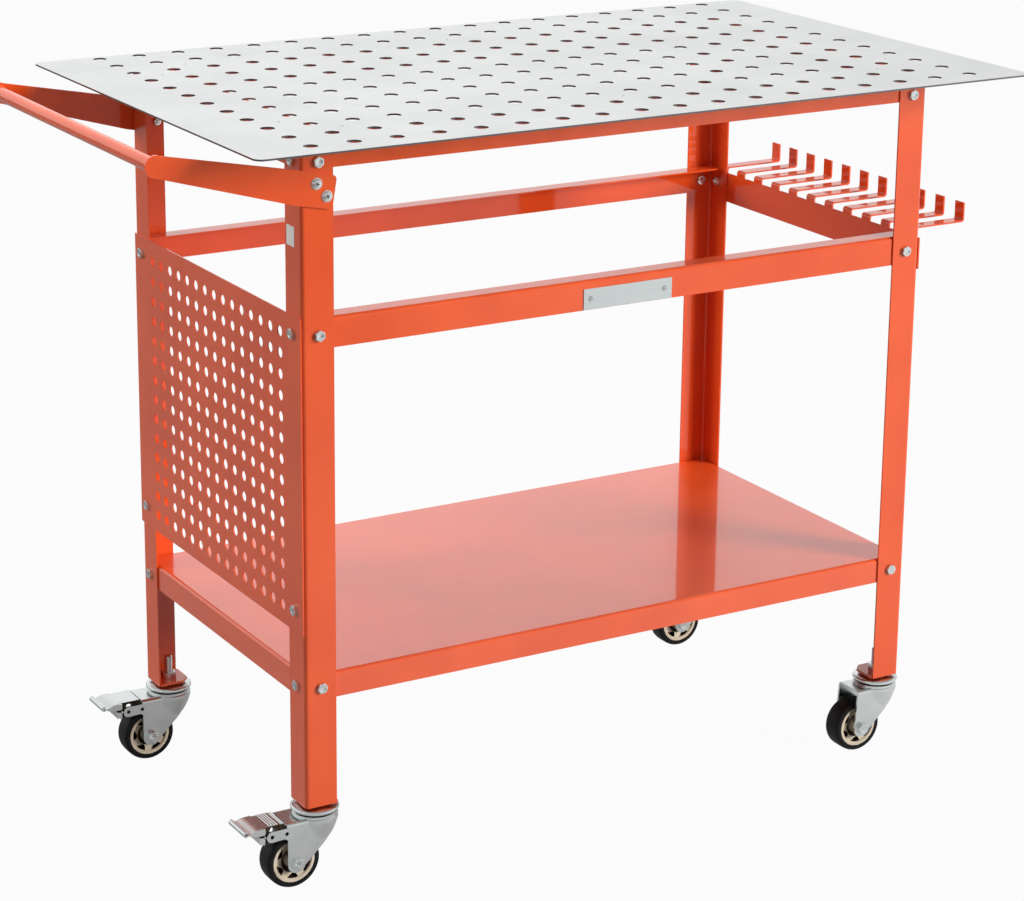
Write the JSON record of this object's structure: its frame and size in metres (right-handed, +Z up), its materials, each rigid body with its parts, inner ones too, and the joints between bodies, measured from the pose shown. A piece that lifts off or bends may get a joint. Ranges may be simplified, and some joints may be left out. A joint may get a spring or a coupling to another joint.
{
  "type": "mobile welding table",
  "caption": "Rolling welding table with a perforated fixture top, angle-steel frame, lower shelf, pegboard side, push handle, hook rack and braked swivel casters.",
  "frame": {"origin": "on the floor, under the centre of the bounding box", "axes": "+X towards the hook rack (the handle and pegboard are at -X), -Y towards the front with the name plate, +Z up"},
  "size_m": [1.078, 0.6, 0.856],
  "materials": {
    "plate_steel": "zinc-plated sheet, satin",
    "orange_powder_coat": "glossy powder coat",
    "zinc": "bright zinc plating",
    "bare_aluminium": "satin plate, left bare",
    "white_label": "matte film, left bare",
    "hub_plastic": "satin beige plastic",
    "tyre_rubber": "black rubber"
  },
  "bodies": {
    "frame": {"top_plate": "plate_steel", "plate_screws": "zinc", "plate_nuts": "zinc", "leg_front_left": "orange_powder_coat", "leg_front_right": "orange_powder_coat", "leg_back_left": "orange_powder_coat", "leg_back_right": "orange_powder_coat", "foot_plates": "orange_powder_coat", "top_rail_front": "orange_powder_coat", "top_rail_back": "orange_powder_coat", "top_rail_left": "orange_powder_coat", "top_rail_right": "orange_powder_coat", "mid_rail_front": "orange_powder_coat", "mid_rail_back": "orange_powder_coat", "shelf_tray": "orange_powder_coat", "pegboard": "orange_powder_coat", "hook_rack": "orange_powder_coat", "handle_arm_front": "orange_powder_coat", "handle_arm_back": "orange_powder_coat", "handle_tube": "orange_powder_coat", "handle_screws": "zinc", "handle_nuts": "zinc", "name_plate": "bare_aluminium", "name_plate_rivets": "zinc", "leg_label": "white_label", "top_rail_bolts": "zinc", "top_rail_nuts": "zinc", "mid_rail_bolts": "zinc", "mid_rail_nuts": "zinc", "shelf_bolts": "zinc", "shelf_nuts": "zinc", "side_bolts": "zinc", "side_nuts": "zinc", "caster_stems": "zinc", "race_caps": "zinc", "stem_nuts": "zinc"},
    "fork_front_left": {"fork_front_left": "zinc", "brake_pins_front_left": "zinc", "axle_front_left": "zinc"},
    "wheel_front_left": {"hub_front_left": "hub_plastic", "tyre_front_left": "tyre_rubber"},
    "pedal_front_left": {"pedal_front_left": "zinc", "brake_shoe_front_left": "zinc"},
    "fork_back_left": {"fork_back_left": "zinc", "brake_pins_back_left": "zinc", "axle_back_left": "zinc"},
    "wheel_back_left": {"hub_back_left": "hub_plastic", "tyre_back_left": "tyre_rubber"},
    "pedal_back_left": {"pedal_back_left": "zinc", "brake_shoe_back_left": "zinc"},
    "fork_front_right": {"fork_front_right": "zinc", "axle_front_right": "zinc"},
    "wheel_front_right": {"hub_front_right": "hub_plastic", "tyre_front_right": "tyre_rubber"},
    "fork_back_right": {"fork_back_right": "zinc", "axle_back_right": "zinc"},
    "wheel_back_right": {"hub_back_right": "hub_plastic", "tyre_back_right": "tyre_rubber"}
  },
  "joints": [
    {"name": "swivel_front_left", "type": "hinge", "parent": "frame", "child": "fork_front_left", "pos_m": [-0.343, -0.188, 0.082], "axis": [0, 0, 1], "continuous": true},
    {"name": "wheel_spin_front_left", "type": "hinge", "parent": "fork_front_left", "child": "wheel_front_left", "pos_m": [-0.375, -0.188, 0.0325], "axis": [0, 1, 0], "continuous": true},
    {"name": "brake_pedal_front_left", "type": "hinge", "parent": "fork_front_left", "child": "pedal_front_left", "pos_m": [-0.387, -0.188, 0.071], "axis": [0, -1, 0], "range_deg": [0, 25]},
    {"name": "swivel_back_left", "type": "hinge", "parent": "frame", "child": "fork_back_left", "pos_m": [-0.343, 0.21, 0.082], "axis": [0, 0, 1], "continuous": true},
    {"name": "wheel_spin_back_left", "type": "hinge", "parent": "fork_back_left", "child": "wheel_back_left", "pos_m": [-0.375, 0.21, 0.0325], "axis": [0, 1, 0], "continuous": true},
    {"name": "brake_pedal_back_left", "type": "hinge", "parent": "fork_back_left", "child": "pedal_back_left", "pos_m": [-0.387, 0.21, 0.071], "axis": [0, -1, 0], "range_deg": [0, 25]},
    {"name": "swivel_front_right", "type": "hinge", "parent": "frame", "child": "fork_front_right", "pos_m": [0.435, -0.188, 0.082], "axis": [0, 0, 1], "continuous": true},
    {"name": "wheel_spin_front_right", "type": "hinge", "parent": "fork_front_right", "child": "wheel_front_right", "pos_m": [0.403, -0.188, 0.0325], "axis": [0, 1, 0], "continuous": true},
    {"name": "swivel_back_right", "type": "hinge", "parent": "frame", "child": "fork_back_right", "pos_m": [0.435, 0.21, 0.082], "axis": [0, 0, 1], "continuous": true},
    {"name": "wheel_spin_back_right", "type": "hinge", "parent": "fork_back_right", "child": "wheel_back_right", "pos_m": [0.403, 0.21, 0.0325], "axis": [0, 1, 0], "continuous": true}
  ]
}
